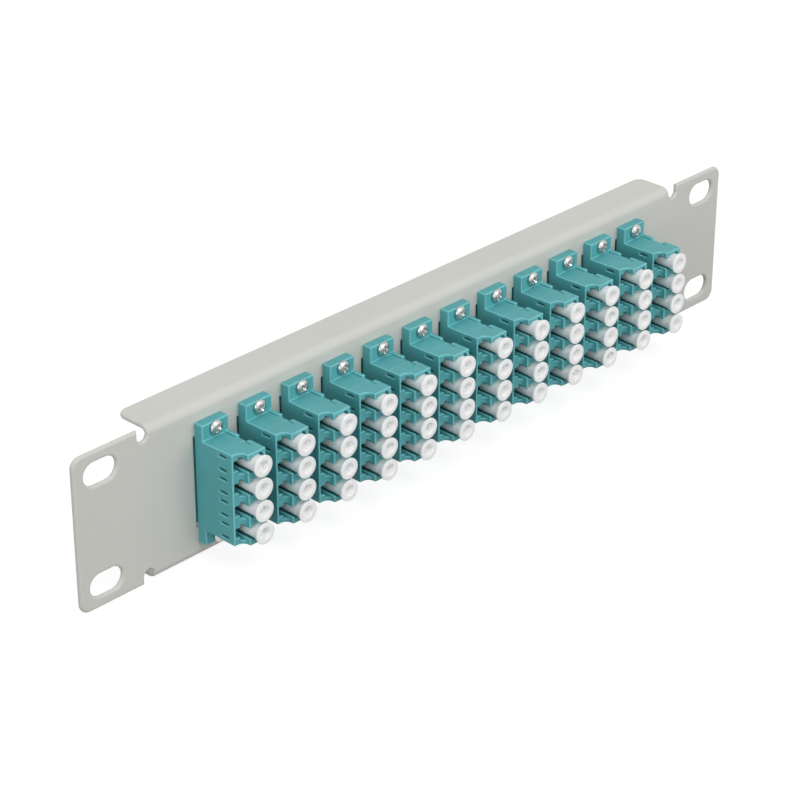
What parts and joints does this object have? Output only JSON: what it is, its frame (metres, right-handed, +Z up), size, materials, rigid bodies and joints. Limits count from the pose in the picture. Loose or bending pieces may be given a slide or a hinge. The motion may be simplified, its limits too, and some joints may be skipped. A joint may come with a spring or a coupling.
{
  "type": "fibre patch panel",
  "caption": "Folded steel rack panel, ten inches wide and one unit high, with a row of screwed-on fibre adapters, each with keyed ports closed by push-in dust caps.",
  "frame": {"origin": "centre of the four rack mounting slots, on the rear face of the folded sheet", "axes": "+X along the panel to the right as seen from the front, +Y out of the rear face into the rack, +Z up"},
  "size_m": [0.254, 0.0364, 0.0444],
  "materials": {
    "panel_steel": "light grey powder coat, fine orange peel",
    "adapter_plastic": "moulded aqua plastic, satin",
    "cap_plastic": "soft white moulded plastic",
    "screw_steel": "bright nickel plate"
  },
  "bodies": {
    "panel_assembly": {"panel": "panel_steel", "front_housings": "adapter_plastic", "rear_housings": "adapter_plastic", "flange_screws": "screw_steel"},
    "cap_01_1": {"dust_cap_01_1": "cap_plastic"},
    "cap_01_2": {"dust_cap_01_2": "cap_plastic"},
    "cap_01_3": {"dust_cap_01_3": "cap_plastic"},
    "cap_01_4": {"dust_cap_01_4": "cap_plastic"},
    "cap_02_1": {"dust_cap_02_1": "cap_plastic"},
    "cap_02_2": {"dust_cap_02_2": "cap_plastic"},
    "cap_02_3": {"dust_cap_02_3": "cap_plastic"},
    "cap_02_4": {"dust_cap_02_4": "cap_plastic"},
    "cap_03_1": {"dust_cap_03_1": "cap_plastic"},
    "cap_03_2": {"dust_cap_03_2": "cap_plastic"},
    "cap_03_3": {"dust_cap_03_3": "cap_plastic"},
    "cap_03_4": {"dust_cap_03_4": "cap_plastic"},
    "cap_04_1": {"dust_cap_04_1": "cap_plastic"},
    "cap_04_2": {"dust_cap_04_2": "cap_plastic"},
    "cap_04_3": {"dust_cap_04_3": "cap_plastic"},
    "cap_04_4": {"dust_cap_04_4": "cap_plastic"},
    "cap_05_1": {"dust_cap_05_1": "cap_plastic"},
    "cap_05_2": {"dust_cap_05_2": "cap_plastic"},
    "cap_05_3": {"dust_cap_05_3": "cap_plastic"},
    "cap_05_4": {"dust_cap_05_4": "cap_plastic"},
    "cap_06_1": {"dust_cap_06_1": "cap_plastic"},
    "cap_06_2": {"dust_cap_06_2": "cap_plastic"},
    "cap_06_3": {"dust_cap_06_3": "cap_plastic"},
    "cap_06_4": {"dust_cap_06_4": "cap_plastic"},
    "cap_07_1": {"dust_cap_07_1": "cap_plastic"},
    "cap_07_2": {"dust_cap_07_2": "cap_plastic"},
    "cap_07_3": {"dust_cap_07_3": "cap_plastic"},
    "cap_07_4": {"dust_cap_07_4": "cap_plastic"},
    "cap_08_1": {"dust_cap_08_1": "cap_plastic"},
    "cap_08_2": {"dust_cap_08_2": "cap_plastic"},
    "cap_08_3": {"dust_cap_08_3": "cap_plastic"},
    "cap_08_4": {"dust_cap_08_4": "cap_plastic"},
    "cap_09_1": {"dust_cap_09_1": "cap_plastic"},
    "cap_09_2": {"dust_cap_09_2": "cap_plastic"},
    "cap_09_3": {"dust_cap_09_3": "cap_plastic"},
    "cap_09_4": {"dust_cap_09_4": "cap_plastic"},
    "cap_10_1": {"dust_cap_10_1": "cap_plastic"},
    "cap_10_2": {"dust_cap_10_2": "cap_plastic"},
    "cap_10_3": {"dust_cap_10_3": "cap_plastic"},
    "cap_10_4": {"dust_cap_10_4": "cap_plastic"},
    "cap_11_1": {"dust_cap_11_1": "cap_plastic"},
    "cap_11_2": {"dust_cap_11_2": "cap_plastic"},
    "cap_11_3": {"dust_cap_11_3": "cap_plastic"},
    "cap_11_4": {"dust_cap_11_4": "cap_plastic"},
    "cap_12_1": {"dust_cap_12_1": "cap_plastic"},
    "cap_12_2": {"dust_cap_12_2": "cap_plastic"},
    "cap_12_3": {"dust_cap_12_3": "cap_plastic"},
    "cap_12_4": {"dust_cap_12_4": "cap_plastic"}
  },
  "joints": [
    {"name": "pull_01_1", "type": "slide", "parent": "panel_assembly", "child": "cap_01_1", "axis": [0, -1, 0], "range_m": [0, 0.0085]},
    {"name": "pull_01_2", "type": "slide", "parent": "panel_assembly", "child": "cap_01_2", "axis": [0, -1, 0], "range_m": [0, 0.0085]},
    {"name": "pull_01_3", "type": "slide", "parent": "panel_assembly", "child": "cap_01_3", "axis": [0, -1, 0], "range_m": [0, 0.0085]},
    {"name": "pull_01_4", "type": "slide", "parent": "panel_assembly", "child": "cap_01_4", "axis": [0, -1, 0], "range_m": [0, 0.0085]},
    {"name": "pull_02_1", "type": "slide", "parent": "panel_assembly", "child": "cap_02_1", "axis": [0, -1, 0], "range_m": [0, 0.0085]},
    {"name": "pull_02_2", "type": "slide", "parent": "panel_assembly", "child": "cap_02_2", "axis": [0, -1, 0], "range_m": [0, 0.0085]},
    {"name": "pull_02_3", "type": "slide", "parent": "panel_assembly", "child": "cap_02_3", "axis": [0, -1, 0], "range_m": [0, 0.0085]},
    {"name": "pull_02_4", "type": "slide", "parent": "panel_assembly", "child": "cap_02_4", "axis": [0, -1, 0], "range_m": [0, 0.0085]},
    {"name": "pull_03_1", "type": "slide", "parent": "panel_assembly", "child": "cap_03_1", "axis": [0, -1, 0], "range_m": [0, 0.0085]},
    {"name": "pull_03_2", "type": "slide", "parent": "panel_assembly", "child": "cap_03_2", "axis": [0, -1, 0], "range_m": [0, 0.0085]},
    {"name": "pull_03_3", "type": "slide", "parent": "panel_assembly", "child": "cap_03_3", "axis": [0, -1, 0], "range_m": [0, 0.0085]},
    {"name": "pull_03_4", "type": "slide", "parent": "panel_assembly", "child": "cap_03_4", "axis": [0, -1, 0], "range_m": [0, 0.0085]},
    {"name": "pull_04_1", "type": "slide", "parent": "panel_assembly", "child": "cap_04_1", "axis": [0, -1, 0], "range_m": [0, 0.0085]},
    {"name": "pull_04_2", "type": "slide", "parent": "panel_assembly", "child": "cap_04_2", "axis": [0, -1, 0], "range_m": [0, 0.0085]},
    {"name": "pull_04_3", "type": "slide", "parent": "panel_assembly", "child": "cap_04_3", "axis": [0, -1, 0], "range_m": [0, 0.0085]},
    {"name": "pull_04_4", "type": "slide", "parent": "panel_assembly", "child": "cap_04_4", "axis": [0, -1, 0], "range_m": [0, 0.0085]},
    {"name": "pull_05_1", "type": "slide", "parent": "panel_assembly", "child": "cap_05_1", "axis": [0, -1, 0], "range_m": [0, 0.0085]},
    {"name": "pull_05_2", "type": "slide", "parent": "panel_assembly", "child": "cap_05_2", "axis": [0, -1, 0], "range_m": [0, 0.0085]},
    {"name": "pull_05_3", "type": "slide", "parent": "panel_assembly", "child": "cap_05_3", "axis": [0, -1, 0], "range_m": [0, 0.0085]},
    {"name": "pull_05_4", "type": "slide", "parent": "panel_assembly", "child": "cap_05_4", "axis": [0, -1, 0], "range_m": [0, 0.0085]},
    {"name": "pull_06_1", "type": "slide", "parent": "panel_assembly", "child": "cap_06_1", "axis": [0, -1, 0], "range_m": [0, 0.0085]},
    {"name": "pull_06_2", "type": "slide", "parent": "panel_assembly", "child": "cap_06_2", "axis": [0, -1, 0], "range_m": [0, 0.0085]},
    {"name": "pull_06_3", "type": "slide", "parent": "panel_assembly", "child": "cap_06_3", "axis": [0, -1, 0], "range_m": [0, 0.0085]},
    {"name": "pull_06_4", "type": "slide", "parent": "panel_assembly", "child": "cap_06_4", "axis": [0, -1, 0], "range_m": [0, 0.0085]},
    {"name": "pull_07_1", "type": "slide", "parent": "panel_assembly", "child": "cap_07_1", "axis": [0, -1, 0], "range_m": [0, 0.0085]},
    {"name": "pull_07_2", "type": "slide", "parent": "panel_assembly", "child": "cap_07_2", "axis": [0, -1, 0], "range_m": [0, 0.0085]},
    {"name": "pull_07_3", "type": "slide", "parent": "panel_assembly", "child": "cap_07_3", "axis": [0, -1, 0], "range_m": [0, 0.0085]},
    {"name": "pull_07_4", "type": "slide", "parent": "panel_assembly", "child": "cap_07_4", "axis": [0, -1, 0], "range_m": [0, 0.0085]},
    {"name": "pull_08_1", "type": "slide", "parent": "panel_assembly", "child": "cap_08_1", "axis": [0, -1, 0], "range_m": [0, 0.0085]},
    {"name": "pull_08_2", "type": "slide", "parent": "panel_assembly", "child": "cap_08_2", "axis": [0, -1, 0], "range_m": [0, 0.0085]},
    {"name": "pull_08_3", "type": "slide", "parent": "panel_assembly", "child": "cap_08_3", "axis": [0, -1, 0], "range_m": [0, 0.0085]},
    {"name": "pull_08_4", "type": "slide", "parent": "panel_assembly", "child": "cap_08_4", "axis": [0, -1, 0], "range_m": [0, 0.0085]},
    {"name": "pull_09_1", "type": "slide", "parent": "panel_assembly", "child": "cap_09_1", "axis": [0, -1, 0], "range_m": [0, 0.0085]},
    {"name": "pull_09_2", "type": "slide", "parent": "panel_assembly", "child": "cap_09_2", "axis": [0, -1, 0], "range_m": [0, 0.0085]},
    {"name": "pull_09_3", "type": "slide", "parent": "panel_assembly", "child": "cap_09_3", "axis": [0, -1, 0], "range_m": [0, 0.0085]},
    {"name": "pull_09_4", "type": "slide", "parent": "panel_assembly", "child": "cap_09_4", "axis": [0, -1, 0], "range_m": [0, 0.0085]},
    {"name": "pull_10_1", "type": "slide", "parent": "panel_assembly", "child": "cap_10_1", "axis": [0, -1, 0], "range_m": [0, 0.0085]},
    {"name": "pull_10_2", "type": "slide", "parent": "panel_assembly", "child": "cap_10_2", "axis": [0, -1, 0], "range_m": [0, 0.0085]},
    {"name": "pull_10_3", "type": "slide", "parent": "panel_assembly", "child": "cap_10_3", "axis": [0, -1, 0], "range_m": [0, 0.0085]},
    {"name": "pull_10_4", "type": "slide", "parent": "panel_assembly", "child": "cap_10_4", "axis": [0, -1, 0], "range_m": [0, 0.0085]},
    {"name": "pull_11_1", "type": "slide", "parent": "panel_assembly", "child": "cap_11_1", "axis": [0, -1, 0], "range_m": [0, 0.0085]},
    {"name": "pull_11_2", "type": "slide", "parent": "panel_assembly", "child": "cap_11_2", "axis": [0, -1, 0], "range_m": [0, 0.0085]},
    {"name": "pull_11_3", "type": "slide", "parent": "panel_assembly", "child": "cap_11_3", "axis": [0, -1, 0], "range_m": [0, 0.0085]},
    {"name": "pull_11_4", "type": "slide", "parent": "panel_assembly", "child": "cap_11_4", "axis": [0, -1, 0], "range_m": [0, 0.0085]},
    {"name": "pull_12_1", "type": "slide", "parent": "panel_assembly", "child": "cap_12_1", "axis": [0, -1, 0], "range_m": [0, 0.0085]},
    {"name": "pull_12_2", "type": "slide", "parent": "panel_assembly", "child": "cap_12_2", "axis": [0, -1, 0], "range_m": [0, 0.0085]},
    {"name": "pull_12_3", "type": "slide", "parent": "panel_assembly", "child": "cap_12_3", "axis": [0, -1, 0], "range_m": [0, 0.0085]},
    {"name": "pull_12_4", "type": "slide", "parent": "panel_assembly", "child": "cap_12_4", "axis": [0, -1, 0], "range_m": [0, 0.0085]}
  ]
}
